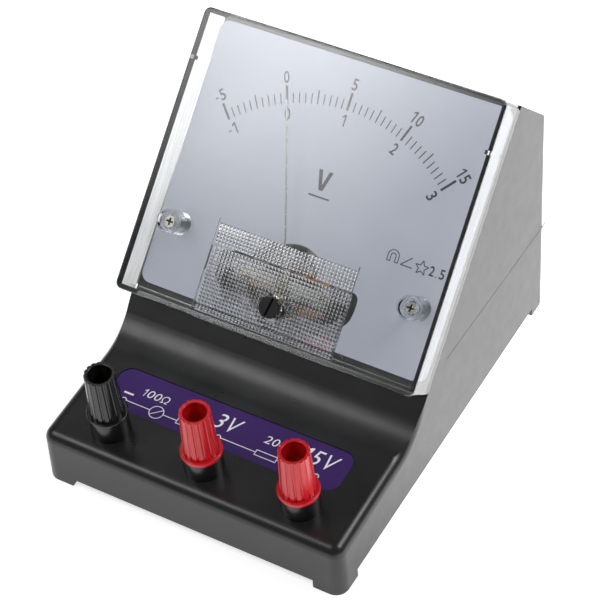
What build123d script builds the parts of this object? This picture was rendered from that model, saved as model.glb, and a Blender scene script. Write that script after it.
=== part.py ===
from build123d import *
import math
import os

os.makedirs("parts", exist_ok=True)

# Desk-top moving-coil voltmeter. Millimetres. Origin: bottom centre of the feet.
# +X is the viewer's right, -Y the terminal side, +Z up.

# ---- case ----
case_width = 99.0
case_depth = 132.0
case_tower = 110.0
corner_radius = 4.0
draft_angle = 0.75
wall = 2.5
peak_y = 47.0
peak_z = 92.1
back_slope_angle = 44.7
slope_angle = 45.4
slope_length = 99.4
deck_fall_angle = 3.34
hollow_radius = 16.0
blend_slope_angle = 60.0
blend_end = 15.0
deck_edge_radius = 3.4
crest_radius = 1.0
foot_height = 3.0
foot_length = 9.3
far = 90.0
screw_radius = 1.25
screw_clearance_radius = 1.4
head_taper = 12
cross_taper = 8

slope_sin = math.sin(math.radians(slope_angle))
slope_cos = math.cos(math.radians(slope_angle))
fall_sin = math.sin(math.radians(deck_fall_angle))
fall_cos = math.cos(math.radians(deck_fall_angle))
fold_y = peak_y - slope_length * slope_cos
fold_z = peak_z - slope_length * slope_sin

# ---- slanted face: x across, y up the slope, z out of the face, origin at the pointer's axis ----
pivot_down = 68.2
pivot_y = peak_y - pivot_down * slope_cos
pivot_z = peak_z - pivot_down * slope_sin
face = Plane(origin=(0, pivot_y, pivot_z), x_dir=(1, 0, 0), z_dir=(0, -slope_sin, slope_cos))

# ---- clear cover ----
cover_height = 12.4
cover_skin = 2.0
cover_wall = 1.5
cover_top = pivot_down
cover_foot = -17.8
cover_corner_radius = 2.0
cover_edge_radius = 0.5
window_centre_x = -1.0
window_width = 45.6
window_top = 12.1
window_step = 3.9
window_thin = 0.8
window_thick = 2.0
rib_at = 53.0
rib_width = 1.2
rib_depth = 0.6
cover_screw_x = 39.45
cover_screw_y = 5.5
cover_boss_radius = 3.6
cover_sink_radius = 2.75
cover_sink_floor = 8.4
cover_hole_radius = 1.5
cover_inner_radius = 1.5
cover_screw_length = 16.0
cover_head_radius = 2.1
cover_head_height = 1.4
cover_cross = 1.15
case_boss_radius = 3.6
case_boss_depth = 9.0

# ---- dial ----
dial_seat = 1.2
dial_thickness = 0.8
dial_face = dial_seat + dial_thickness
dial_half_width = 46.4
dial_top = 66.4
dial_foot = -14.25
dial_corner_radius = 3.0
dial_gap_radius = 21.3
dial_gap_top = 3.5
dial_gap_foot = -7.8
dial_hump_radius = 11.3
opening_width = 51.0
opening_height = 27.0
opening_y = -0.8
opening_corner_radius = 3.0
seat_margin = 1.5
seat_sink = 0.5
dial_gap_corner_radius = 2.2
dial_gap_foot_radius = 5.0
dial_screw_hole_radius = 1.6

# ---- movement ----
core_radius = 8.4
core_back = -18.0
core_front = -6.0
bore_radius = 11.2
shoe_back = -20.5
shoe_front = -4.0
shoe_out = 16.0
shoe_tip = 5.0
shoe_half_height = 10.9
magnet_out = 22.0
magnet_half_height = 10.0
yoke_out = 24.4
yoke_floor = -27.6
yoke_floor_thickness = 2.4
coil_width = 4.0
coil_in_radius = 9.2
former_skin = 0.35
coil_out_radius = 10.5
coil_inner_front = -5.3
coil_inner_back = -18.7
rest_angle = 18.95
spindle_radius = 0.45
bridge_bottom = 5.0
bridge_top = 6.0
bridge_half_width = 2.2
pillar_x = 13.6
pillar_radius = 1.6
stop_radius = 10.2
stop_angle = 51.5
rear_bridge_front = -23.0
rear_bridge_back = -24.0
jewel_radius = 1.0
pointer_low = 3.0
pointer_high = 6.3
pointer_radius = 0.3
pointer_length = 53.0
adjuster_y = -7.7
adjuster_throw = 1.2
adjuster_pin_radius = 0.6
frame_screw_x = 30.0
frame_boss_radius = 3.2
frame_boss_depth = 8.0
frame_hole_depth = 6.5
frame_plate_back = -9.6
frame_plate_thickness = 1.55
frame_plate_width = 9.2
frame_plate_height = 10.0
frame_flange_back = -18.0
frame_flange_depth = 9.0
frame_flange_thickness = 1.4
frame_screw_length = 7.2
frame_head_radius = 2.3
frame_head_height = 1.5
frame_cross = 1.0
yoke_hole_radius = 3.0
core_hole_radius = 1.5
holder_back = -14.0
holder_depth = 4.0
holder_length = 28.0
holder_thickness = 2.2
holder_block_y = 9.7
holder_block_width = 5.6
holder_block_height = 2.8
pillar_pin_radius = 0.85
pillar_hole_radius = 0.9
pillar_pin_length = 2.6
bridge_nut_radius = 1.75
bridge_nut_height = 1.1
spring_post_x = 4.05
spring_post_radius = 0.35
spring_post_height = 2.1
front_jewel_back = 4.7
front_jewel_length = 3.0
rear_jewel_back = -25.0
rear_jewel_length = 2.4
jewel_cup_radius = 0.5
jewel_cup_depth = 0.5
jewel_slot_width = 0.4
jewel_slot_depth = 0.5
lock_nut_back = 6.75
lock_nut_radius = 2.0
lock_nut_height = 0.6
stop_pin_radius = 0.45
stop_pin_length = 11.6
former_overhang = 0.25
winding_corner_radius = 0.8
hub_radius = 1.8
hub_height = 0.6
front_shoulder = 4.6
rear_shoulder = -22.6
pivot_taper = 25
front_pivot_length = 0.5
rear_pivot_length = 0.4
pointer_hub_radius = 1.5
pointer_tip_half = 0.2
weight_stem_radius = 0.25
weight_length_ratio = 2.6
spring_turns = 2.5
spring_steps = 40
spring_inner_radius = 0.75
spring_width = 0.14
spring_height = 0.4
spring_collet_radius = 0.85
lever_back = bridge_top + 0.1
lever_thickness = 0.5
lever_fork_length = 9.8
lever_fork_width = 3.4
lever_tab_back = 3.8
lever_tab_y = 3.4
lever_tab_width = 1.6
lever_hub_radius = 2.5
adjuster_head_radius = 3.3
adjuster_head_back = cover_height - 1.1
adjuster_head_height = 1.5
adjuster_neck_radius = 2.43
adjuster_lip_radius = 2.9
adjuster_lip_back = 7.7
adjuster_lip_height = 0.6
adjuster_pin_back = 5.7
adjuster_slot_width = 0.8
adjuster_slot_length = 5.6
adjuster_slot_turn = -10
adjuster_slot_depth = 0.9
adjuster_seat_radius = 3.65
adjuster_seat_depth = 1.2
adjuster_hole_radius = 2.5

# ---- terminals ----
post_spacing = 31.3
post_y = -55.3
post_z = fold_z + (post_y - fold_y) * fall_sin / fall_cos
post_xs = [step * post_spacing for step in (-1, 0, 1)]
collar_radius = 5.85
collar_height = 6.75
cap_bottom = 6.85
cap_top = 24.3
flange_radius = 6.15
flange_height = 1.4
flange_edge_radius = 0.35
mouth_edge_radius = 0.3
barrel_foot_radius = 5.15
barrel_top_radius = 4.5
cap_hole_radius = 3.4
cap_hole_depth = 9.0
flute_count = 16
flute_radius = 0.45
flute_depth = 0.3
insert_radius = 3.9
insert_bottom = 7.65
insert_top = 14.2
stud_radius = 3.0
stud_foot = 4.6
stud_top = 15.2
shank_below_deck = 8.5
washer_radius = 4.0
washer_thickness = 0.8
lug_radius = 3.4
lug_thickness = 0.5
lug_tail_y = 5.2
lug_tail_width = 3.0
lug_tail_length = 8.4
nut_radius = 3.9
nut_thickness = 3.0
socket_radius = 2.0
socket_depth = 9.5
shank_radius = 1.95
running_gap = 0.05
seat_gap = 0.02
label_centre_x = -1.0
label_width = 77.6
label_height = 14.7
label_y = -40.7
label_radius = 4.0
label_recess = 0.5
label_thickness = 0.3
label_gap = 0.15
lead_radius = 0.35
resistor_radius = 1.7
resistor_length = 9.0
resistor_end_radius = 0.7
wire_radius = 0.6
strip_x = -9.5
strip_back = -18.5
strip_width = 17.0
strip_height = 5.0
strip_thickness = 1.0
strip_tag_spacing = 9.0
strip_tag_width = 2.4
strip_tag_length = 7.0
strip_tag_thickness = 1.4

# ---- bottom ----
base_thickness = 2.0
base_z = foot_height + 0.3
base_gap = 0.3
base_screw_x = 42.5
base_screw_y = 57.5
base_boss_radius = 4.2
base_boss_top = 15.0
base_rib_shift = 2.6
base_rib_size = 5.0
base_hole_depth = 7.0
base_corner_radius = 1.2
base_screw_length = 7.5
base_head_radius = 2.4
base_head_height = 1.5
base_cross = 1.1


def deck_plane(x, height=0.0):
    """Plane on the deck at a terminal, z out of the deck, raised along its normal."""
    origin = (x, post_y - fall_sin * height, post_z + fall_cos * height)
    return Plane(origin=origin, x_dir=(1, 0, 0), z_dir=(0, -fall_sin, fall_cos))


def deck_at(x, y, height):
    """Plane parallel to the deck, above the point of the deck at the given x and y."""
    z = fold_z + (y - fold_y) * fall_sin / fall_cos
    origin = (x, y - fall_sin * height, z + fall_cos * height)
    return Plane(origin=origin, x_dir=(1, 0, 0), z_dir=(0, -fall_sin, fall_cos))


def finish(part, name, color):
    part.label = name
    part.color = Color(*color)
    export_step(part, f"parts/{name}.step")


def wedge(inset, steep):
    """Endless bar with the case's side outline, moved inwards by inset."""
    drop = (far - abs(fold_y)) * fall_sin / fall_cos
    if steep == slope_angle:
        upper = [(peak_y, peak_z), (far, peak_z - (far - peak_y) * math.tan(math.radians(back_slope_angle)))]
    else:
        upper = [(far, fold_z + (far - fold_y) * math.tan(math.radians(steep)))]
    with BuildPart() as bar:
        with BuildSketch(Plane.YZ.offset(-far)) as outline:
            with BuildLine():
                Polyline(
                    (-far, -far), (-far, fold_z - drop), (fold_y, fold_z),
                    *upper, (far, -far), (-far, -far),
                )
            make_face()
            corner = outline.vertices().sort_by_distance((fold_y, fold_z, 0))[0]
            fillet(corner, hollow_radius)
            if inset:
                offset(amount=-inset, kind=Kind.INTERSECTION)
        extrude(amount=2 * far)
    return bar.part


# ================= case =================
main_wedge = wedge(0, slope_angle)
blend_wedge = wedge(0, blend_slope_angle)
inner_wedge = wedge(wall, slope_angle)

with BuildPart() as blend_body:
    with BuildSketch(Plane.XY):
        RectangleRounded(case_width, case_depth, corner_radius)
    extrude(amount=case_tower * 2, taper=draft_angle)
    add(blend_wedge, mode=Mode.INTERSECT)
    split(bisect_by=Plane.XZ.offset(-blend_end), keep=Keep.TOP)
    front_edge = blend_body.edges().filter_by(Axis.X).filter_by_position(
        Axis.Z, fold_z - 5, fold_z
    ).sort_by(Axis.Y)[0]
    fillet(front_edge, deck_edge_radius)
    with Locations((0, blend_end, 0)):
        Box(case_width, case_depth, case_tower, align=(Align.CENTER, Align.MIN, Align.MIN))

with BuildPart() as wedge_void:
    with BuildSketch(Plane.XY):
        RectangleRounded(case_width - 2 * wall, case_depth - 2 * wall, corner_radius - wall)
    extrude(amount=case_tower, taper=draft_angle)
    add(inner_wedge, mode=Mode.INTERSECT)

with BuildPart() as case_shell:
    with BuildSketch(Plane.XY):
        RectangleRounded(case_width, case_depth, corner_radius)
    extrude(amount=case_tower, taper=draft_angle)
    add(main_wedge, mode=Mode.INTERSECT)
    crest = case_shell.edges().filter_by(Axis.X).sort_by(Axis.Z)[-1]
    fillet(crest, crest_radius)
    add(blend_body.part, mode=Mode.INTERSECT)
    add(wedge_void.part, mode=Mode.SUBTRACT)
    # walls stand on four corner feet
    with Locations((0, 0, 0)):
        Box(case_width - 2 * foot_length, case_depth + 2, foot_height,
            align=(Align.CENTER, Align.CENTER, Align.MIN), mode=Mode.SUBTRACT)
        Box(case_width + 2, case_depth - 2 * foot_length, foot_height,
            align=(Align.CENTER, Align.CENTER, Align.MIN), mode=Mode.SUBTRACT)
    # raised seat for the dial plate
    with BuildSketch(face.offset(-seat_sink)):
        with Locations((0, (dial_top + dial_foot) / 2)):
            Rectangle(2 * (dial_half_width - seat_margin), dial_top - dial_foot - 2 * seat_margin)
    extrude(amount=seat_sink + dial_seat)
    # movement opening through the slanted wall
    with BuildSketch(face.offset(-wall - 2)):
        with Locations((0, opening_y)):
            RectangleRounded(opening_width, opening_height, opening_corner_radius)
    extrude(amount=wall + 2 + dial_seat + 1, mode=Mode.SUBTRACT)
    # screw bosses behind the slanted wall
    with BuildSketch(face.offset(-case_boss_depth)):
        with Locations((-cover_screw_x, cover_screw_y), (cover_screw_x, cover_screw_y)):
            Circle(case_boss_radius)
    extrude(amount=case_boss_depth - wall / 2)
    with BuildSketch(face.offset(-frame_boss_depth)):
        with Locations((-frame_screw_x, 0), (frame_screw_x, 0)):
            Circle(frame_boss_radius)
    extrude(amount=frame_boss_depth - wall / 2)
    with BuildSketch(face.offset(-case_boss_depth)):
        with Locations((-cover_screw_x, cover_screw_y), (cover_screw_x, cover_screw_y)):
            Circle(screw_radius + seat_gap)
    extrude(amount=case_boss_depth + dial_seat, mode=Mode.SUBTRACT)
    with BuildSketch(face.offset(-frame_boss_depth)):
        with Locations((-frame_screw_x, 0), (frame_screw_x, 0)):
            Circle(screw_radius + seat_gap)
    extrude(amount=frame_hole_depth, mode=Mode.SUBTRACT)
    # base-plate bosses against the side walls
    with BuildSketch(Plane.XY.offset(base_z + base_thickness + seat_gap)):
        for sx in (-1, 1):
            for sy in (-1, 1):
                with Locations((sx * base_screw_x, sy * base_screw_y)):
                    Circle(base_boss_radius)
                with Locations((sx * (base_screw_x + base_rib_shift), sy * base_screw_y)):
                    Rectangle(base_rib_size, base_rib_size)
    extrude(amount=base_boss_top - base_z - base_thickness - seat_gap)
    with BuildSketch(Plane.XY.offset(base_z + base_thickness)):
        with GridLocations(2 * base_screw_x, 2 * base_screw_y, 2, 2):
            Circle(screw_radius + seat_gap)
    extrude(amount=base_hole_depth, mode=Mode.SUBTRACT)
    # terminal holes
    for x in post_xs:
        with BuildSketch(deck_plane(x, -wall - 1)):
            Circle(shank_radius + seat_gap)
        extrude(amount=wall + 2, mode=Mode.SUBTRACT)
    # shallow recess for the printed label
    with BuildSketch(deck_at(label_centre_x, label_y, -label_recess)):
        RectangleRounded(label_width + 2 * label_gap, label_height + 2 * label_gap, label_radius)
    extrude(amount=label_recess + 1, mode=Mode.SUBTRACT)
finish(case_shell.part, "case_shell", (0.05, 0.05, 0.05))

with BuildPart() as base_plate:
    with BuildSketch(Plane.XY.offset(base_z)):
        inset = 2 * wall + 2 * base_gap
        RectangleRounded(case_width - inset, case_depth - inset, base_corner_radius)
    extrude(amount=base_thickness)
    with BuildSketch(Plane.XY.offset(base_z)):
        with GridLocations(2 * base_screw_x, 2 * base_screw_y, 2, 2):
            Circle(screw_clearance_radius)
    extrude(amount=base_thickness, mode=Mode.SUBTRACT)
finish(base_plate.part, "base_plate", (0.06, 0.06, 0.06))


def screw(plane, shank, length, head, head_height, cross):
    """Pan-head cross-recess screw: plane origin under the head, z towards the head."""
    with BuildPart() as body:
        with BuildSketch(plane):
            Circle(head)
        extrude(amount=head_height, taper=head_taper)
        with BuildSketch(plane):
            Circle(shank)
        extrude(amount=-length)
        tip = body.faces().filter_by(GeomType.PLANE).sort_by_distance(
            tuple(plane.origin - plane.z_dir * length)
        )[0]
        chamfer(tip.edges(), shank * 0.4)
        with BuildSketch(plane.offset(head_height)):
            Rectangle(cross * 2, cross * 0.5)
            Rectangle(cross * 0.5, cross * 2)
        extrude(amount=-head_height * 0.5, taper=cross_taper, mode=Mode.SUBTRACT)
    return body.part


with BuildPart() as base_plate_screws:
    for sx in (-1, 1):
        for sy in (-1, 1):
            under = Plane(
                origin=(sx * base_screw_x, sy * base_screw_y, base_z), x_dir=(1, 0, 0), z_dir=(0, 0, -1)
            )
            add(screw(under, screw_radius, base_screw_length, base_head_radius, base_head_height, base_cross))
finish(base_plate_screws.part, "base_plate_screws", (0.6, 0.6, 0.62))

# ================= clear cover =================
with BuildPart() as cover_inside:
    with BuildSketch(Plane.XY):
        Rectangle(case_width - 2 * cover_wall, case_depth)
    extrude(amount=case_tower, taper=draft_angle)
    with BuildSketch(face.offset(-1)):
        with Locations((0, (cover_top + cover_foot) / 2)):
            RectangleRounded(case_width + 20, cover_top - cover_foot - 2 * cover_wall, cover_inner_radius)
    extrude(amount=cover_height - cover_skin + 1, mode=Mode.INTERSECT)

with BuildPart() as clear_cover:
    with BuildSketch(Plane.XY):
        Rectangle(case_width, case_depth)
    extrude(amount=case_tower, taper=draft_angle)
    with BuildSketch(face.offset(seat_gap)):
        with Locations((0, (cover_top + cover_foot) / 2)):
            Rectangle(case_width + 20, cover_top - cover_foot)
    extrude(amount=cover_height - seat_gap, mode=Mode.INTERSECT)
    corners = clear_cover.edges().filter_by(
        lambda e: e.length < cover_height * 1.1 and abs(e.tangent_at(0.5).dot(face.z_dir)) > 0.9
    )
    fillet(corners, cover_corner_radius)
    rim = clear_cover.faces().sort_by_distance(tuple(face.offset(cover_height).origin))[0]
    fillet(rim.edges(), cover_edge_radius)
    add(cover_inside.part, mode=Mode.SUBTRACT)
    inner = cover_height - cover_skin
    # knurled window block, deeper below its step
    with BuildSketch(face.offset(inner - window_thin)):
        with Locations((window_centre_x, (window_top + cover_foot) / 2)):
            Rectangle(window_width, window_top - cover_foot - 1)
    extrude(amount=window_thin + 0.5)
    with BuildSketch(face.offset(inner - window_thick)):
        with Locations((window_centre_x, (window_step + cover_foot) / 2)):
            Rectangle(window_width, window_step - cover_foot - 1)
    extrude(amount=window_thick + 0.5)
    # tubular bosses down to the dial, open at the top for the screw heads
    with BuildSketch(face.offset(dial_face + seat_gap)):
        with Locations((-cover_screw_x, cover_screw_y), (cover_screw_x, cover_screw_y)):
            Circle(cover_boss_radius)
    extrude(amount=inner - dial_face)
    with BuildSketch(face.offset(dial_face)):
        with Locations((-cover_screw_x, cover_screw_y), (cover_screw_x, cover_screw_y)):
            Circle(cover_hole_radius)
    extrude(amount=cover_height, mode=Mode.SUBTRACT)
    with BuildSketch(face.offset(cover_sink_floor)):
        with Locations((-cover_screw_x, cover_screw_y), (cover_screw_x, cover_screw_y)):
            Circle(cover_sink_radius)
    extrude(amount=cover_height, mode=Mode.SUBTRACT)
    # seat of the zero adjuster
    with BuildSketch(face.offset(inner - window_thick - 1)):
        with Locations((0, adjuster_y)):
            Circle(adjuster_hole_radius)
    extrude(amount=cover_height, mode=Mode.SUBTRACT)
    with BuildSketch(face.offset(cover_height - adjuster_seat_depth)):
        with Locations((0, adjuster_y)):
            Circle(adjuster_seat_radius)
    extrude(amount=cover_height, mode=Mode.SUBTRACT)
    # ribs inside the side walls
    for side in (-1, 1):
        with BuildSketch(face.offset(dial_face + 0.3)):
            with Locations((side * (case_width / 2 - cover_wall - 1.0), rib_at)):
                Rectangle(rib_depth * 2 + 0.6, rib_width)
        extrude(amount=inner - dial_face - 0.1)
finish(clear_cover.part, "clear_cover", (0.85, 0.88, 0.9, 0.3))

with BuildPart() as cover_screws:
    for side in (-1, 1):
        seat = Plane(
            origin=face.from_local_coords((side * cover_screw_x, cover_screw_y, cover_sink_floor + seat_gap)),
            x_dir=(1, 0, 0), z_dir=face.z_dir,
        )
        add(screw(seat, screw_radius, cover_screw_length, cover_head_radius, cover_head_height, cover_cross))
finish(cover_screws.part, "cover_screws", (0.75, 0.75, 0.74))

# ================= dial =================
with BuildSketch(face.offset(dial_seat + seat_gap)) as dial_gap:
    Circle(dial_gap_radius)
    with Locations((0, (dial_gap_top + dial_gap_foot) / 2)):
        Rectangle(2 * dial_gap_radius, dial_gap_top - dial_gap_foot, mode=Mode.INTERSECT)
    gap_corners = dial_gap.vertices().sort_by(Axis.Y)
    fillet(gap_corners[:2], dial_gap_foot_radius)
    gap_corners = dial_gap.vertices().sort_by(Axis.Y)
    fillet(gap_corners[-2:], dial_gap_corner_radius)
    Circle(dial_hump_radius)

with BuildPart() as dial_plate:
    with BuildSketch(face.offset(dial_seat + seat_gap)):
        with Locations((0, (dial_top + dial_foot) / 2)):
            RectangleRounded(2 * dial_half_width, dial_top - dial_foot, dial_corner_radius)
        add(dial_gap.sketch_local, mode=Mode.SUBTRACT)
        with Locations((-cover_screw_x, cover_screw_y), (cover_screw_x, cover_screw_y)):
            Circle(dial_screw_hole_radius, mode=Mode.SUBTRACT)
    extrude(amount=dial_thickness - seat_gap)
finish(dial_plate.part, "dial_plate", (0.8, 0.8, 0.85))


# ================= movement, fixed part =================
def two_sided(inner_x, outer_x, half_height):
    with Locations(
        (-(inner_x + outer_x) / 2, 0), ((inner_x + outer_x) / 2, 0)
    ):
        Rectangle(outer_x - inner_x, 2 * half_height)


with BuildPart() as pole_shoes:
    with BuildSketch(face.offset(shoe_back)):
        two_sided(shoe_tip, shoe_out, shoe_half_height)
        Circle(bore_radius, mode=Mode.SUBTRACT)
    extrude(amount=shoe_front - shoe_back)
finish(pole_shoes.part, "pole_shoes", (0.5, 0.5, 0.5))

with BuildPart() as magnets:
    with BuildSketch(face.offset(shoe_back)):
        two_sided(shoe_out + seat_gap, magnet_out, magnet_half_height)
    extrude(amount=shoe_front - shoe_back)
finish(magnets.part, "magnets", (0.08, 0.08, 0.08))

with BuildPart() as magnet_yoke:
    with BuildSketch(face.offset(yoke_floor)):
        Rectangle(2 * yoke_out, 2 * magnet_half_height)
    extrude(amount=yoke_floor_thickness)
    with BuildSketch(face.offset(yoke_floor)):
        two_sided(magnet_out + seat_gap, yoke_out, magnet_half_height)
    extrude(amount=shoe_front - yoke_floor)
    with BuildSketch(face.offset(yoke_floor)):
        Circle(yoke_hole_radius)
    extrude(amount=yoke_floor_thickness, mode=Mode.SUBTRACT)
finish(magnet_yoke.part, "magnet_yoke", (0.12, 0.12, 0.12))

with BuildPart() as iron_core:
    with BuildSketch(face.offset(core_back)):
        Circle(core_radius)
        Circle(core_hole_radius, mode=Mode.SUBTRACT)
    extrude(amount=core_front - core_back)
finish(iron_core.part, "iron_core", (0.45, 0.45, 0.45))

with BuildPart() as core_holders:
    with BuildSketch(face.offset(holder_back)):
        for side in (-1, 1):
            with Locations((0, side * (shoe_half_height + seat_gap + holder_thickness / 2))):
                Rectangle(holder_length, holder_thickness)
            with Locations((0, side * holder_block_y)):
                Rectangle(holder_block_width, holder_block_height)
        Circle(core_radius + seat_gap, mode=Mode.SUBTRACT)
    extrude(amount=holder_depth)
finish(core_holders.part, "core_holders", (0.75, 0.6, 0.3))

with BuildPart() as movement_frame:
    with BuildSketch(face.offset(frame_plate_back)):
        for side in (-1, 1):
            with Locations((side * (yoke_out + seat_gap + frame_plate_width / 2), 0)):
                Rectangle(frame_plate_width, frame_plate_height)
            with Locations((side * frame_screw_x, 0)):
                Circle(screw_clearance_radius, mode=Mode.SUBTRACT)
    extrude(amount=frame_plate_thickness)
    with BuildSketch(face.offset(frame_flange_back)):
        two_sided(yoke_out + seat_gap, yoke_out + frame_flange_thickness, frame_plate_height / 2)
    extrude(amount=frame_flange_depth)
finish(movement_frame.part, "movement_frame", (0.7, 0.7, 0.72))

with BuildPart() as movement_screws:
    for side in (-1, 1):
        seat = Plane(
            origin=face.from_local_coords((side * frame_screw_x, 0, frame_plate_back - seat_gap)),
            x_dir=(1, 0, 0), z_dir=(0, slope_sin, -slope_cos),
        )
        add(screw(seat, screw_radius, frame_screw_length, frame_head_radius, frame_head_height, frame_cross))
finish(movement_screws.part, "movement_screws", (0.65, 0.65, 0.66))

with BuildPart() as front_bridge:
    with BuildSketch(face.offset(bridge_bottom)):
        SlotOverall(2 * pillar_x + 2 * bridge_half_width, 2 * bridge_half_width)
        Circle(jewel_radius + seat_gap, mode=Mode.SUBTRACT)
        with Locations((-pillar_x, 0), (pillar_x, 0)):
            Circle(pillar_hole_radius, mode=Mode.SUBTRACT)
    extrude(amount=bridge_top - bridge_bottom)
finish(front_bridge.part, "front_bridge", (0.7, 0.7, 0.68))

with BuildPart() as bridge_pillars:
    with BuildSketch(face.offset(shoe_front + seat_gap)):
        with Locations((-pillar_x, 0), (pillar_x, 0)):
            Circle(pillar_radius)
    extrude(amount=bridge_bottom - shoe_front - 2 * seat_gap)
    with BuildSketch(face.offset(bridge_bottom - 1)):
        with Locations((-pillar_x, 0), (pillar_x, 0)):
            Circle(pillar_pin_radius)
    extrude(amount=pillar_pin_length)
finish(bridge_pillars.part, "bridge_pillars", (0.72, 0.6, 0.35))

with BuildPart() as bridge_nuts:
    with BuildSketch(face.offset(bridge_top + seat_gap)):
        with Locations((-pillar_x, 0), (pillar_x, 0)):
            RegularPolygon(bridge_nut_radius, 6)
            Circle(pillar_hole_radius, mode=Mode.SUBTRACT)
    extrude(amount=bridge_nut_height)
finish(bridge_nuts.part, "bridge_nuts", (0.7, 0.7, 0.7))

with BuildPart() as rear_bridge:
    with BuildSketch(face.offset(rear_bridge_back)):
        SlotOverall(2 * pillar_x + 2 * bridge_half_width, 2 * bridge_half_width)
        Circle(jewel_radius + seat_gap, mode=Mode.SUBTRACT)
    extrude(amount=rear_bridge_front - rear_bridge_back)
    with BuildSketch(face.offset(rear_bridge_front - 0.5)):
        with Locations((-pillar_x, 0), (pillar_x, 0)):
            Circle(pillar_radius)
    extrude(amount=shoe_back - rear_bridge_front + 0.5 - seat_gap)
    with BuildSketch(face.offset(rear_bridge_front - 0.5)):
        with Locations((spring_post_x, 0)):
            Circle(spring_post_radius)
    extrude(amount=spring_post_height)
finish(rear_bridge.part, "rear_bridge", (0.7, 0.7, 0.68))

with BuildPart() as jewel_screws:
    with BuildSketch(face.offset(front_jewel_back)):
        Circle(jewel_radius)
    extrude(amount=front_jewel_length)
    with BuildSketch(face.offset(front_jewel_back)):
        Circle(jewel_cup_radius)
    extrude(amount=jewel_cup_depth, mode=Mode.SUBTRACT)
    with BuildSketch(face.offset(front_jewel_back + front_jewel_length)):
        Rectangle(3 * jewel_radius, jewel_slot_width)
    extrude(amount=-jewel_slot_depth, mode=Mode.SUBTRACT)
    with BuildSketch(face.offset(rear_jewel_back)):
        Circle(jewel_radius)
    extrude(amount=rear_jewel_length)
    with BuildSketch(face.offset(rear_jewel_back + rear_jewel_length)):
        Circle(jewel_cup_radius)
    extrude(amount=-jewel_cup_depth, mode=Mode.SUBTRACT)
finish(jewel_screws.part, "jewel_screws", (0.8, 0.7, 0.35))

with BuildPart() as jewel_lock_nut:
    with BuildSketch(face.offset(lock_nut_back)):
        RegularPolygon(lock_nut_radius, 6)
        Circle(jewel_radius + seat_gap, mode=Mode.SUBTRACT)
    extrude(amount=lock_nut_height)
finish(jewel_lock_nut.part, "jewel_lock_nut", (0.8, 0.7, 0.35))

with BuildPart() as stop_pins:
    with BuildSketch(face.offset(shoe_front + seat_gap)):
        for side in (-1, 1):
            stop = math.radians(stop_angle)
            with Locations((side * stop_radius * math.sin(stop), stop_radius * math.cos(stop))):
                Circle(stop_pin_radius)
    extrude(amount=stop_pin_length)
finish(stop_pins.part, "stop_pins", (0.7, 0.7, 0.7))

# ================= movement, swinging part =================
# pointer direction at rest, turned to the left of the dial's centre line
turned = Plane(
    origin=face.origin,
    x_dir=face.x_dir * math.cos(math.radians(rest_angle)) + face.y_dir * math.sin(math.radians(rest_angle)),
    z_dir=face.z_dir,
)
coil_section = Plane(origin=turned.origin, x_dir=turned.x_dir, z_dir=-turned.y_dir)

with BuildPart() as coil_former:
    with BuildSketch(coil_section):
        with Locations((0, (coil_inner_front + coil_inner_back) / 2)):
            former_length = coil_inner_front - coil_inner_back
            Rectangle(2 * (coil_in_radius + former_skin), former_length + 2 * former_skin)
            Rectangle(2 * coil_in_radius, former_length, mode=Mode.SUBTRACT)
    extrude(amount=coil_width / 2 + former_overhang, both=True)
finish(coil_former.part, "coil_former", (0.75, 0.75, 0.77))

wind_in = coil_in_radius + former_skin + seat_gap
wind_front = coil_inner_front + former_skin + seat_gap
wind_back = coil_inner_back - former_skin - seat_gap
with BuildPart() as coil_winding:
    with BuildSketch(coil_section):
        with Locations((0, (wind_front + wind_back) / 2)):
            wind_length = wind_front - wind_back + 2 * (coil_out_radius - wind_in)
            RectangleRounded(2 * coil_out_radius, wind_length, winding_corner_radius)
            Rectangle(2 * wind_in, wind_front - wind_back, mode=Mode.SUBTRACT)
    extrude(amount=coil_width / 2, both=True)
finish(coil_winding.part, "coil_winding", (0.6, 0.28, 0.12))

coil_front = wind_front + coil_out_radius - wind_in
coil_back = wind_back - coil_out_radius + wind_in
with BuildPart() as spindle_pivots:
    with BuildSketch(face.offset(coil_front + seat_gap)):
        Circle(hub_radius)
    extrude(amount=hub_height)
    with BuildSketch(face.offset(coil_front + seat_gap)):
        Circle(spindle_radius)
    extrude(amount=front_shoulder - coil_front - seat_gap)
    with BuildSketch(face.offset(front_shoulder)):
        Circle(spindle_radius * 0.8)
    extrude(amount=front_pivot_length, taper=pivot_taper)
    with BuildSketch(face.offset(coil_back - seat_gap)):
        Circle(hub_radius)
    extrude(amount=-hub_height)
    with BuildSketch(face.offset(coil_back - seat_gap)):
        Circle(spindle_radius)
    extrude(amount=-(coil_back - seat_gap - rear_shoulder))
    with BuildSketch(face.offset(rear_shoulder)):
        Circle(spindle_radius * 0.8)
    extrude(amount=-rear_pivot_length, taper=pivot_taper)
finish(spindle_pivots.part, "spindle_pivots", (0.7, 0.7, 0.72))

with BuildPart() as pointer:
    with BuildSketch(turned.offset(pointer_low - 0.5)):
        Circle(pointer_hub_radius)
        Circle(spindle_radius + seat_gap, mode=Mode.SUBTRACT)
    extrude(amount=1.0)
    lift = Plane(origin=turned.origin, x_dir=turned.y_dir, z_dir=turned.x_dir)
    with BuildSketch(lift):
        with BuildLine():
            Polyline(
                (1.2, pointer_low - pointer_radius), (4.6, pointer_low - pointer_radius),
                (8.3, pointer_high - pointer_radius), (pointer_length, pointer_high - pointer_tip_half),
                (pointer_length, pointer_high + pointer_tip_half), (8.0, pointer_high + pointer_radius),
                (4.3, pointer_low + pointer_radius), (1.2, pointer_low + pointer_radius),
                (1.2, pointer_low - pointer_radius),
            )
        make_face()
    extrude(amount=pointer_radius, both=True)
finish(pointer.part, "pointer", (0.1, 0.1, 0.1))

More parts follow.
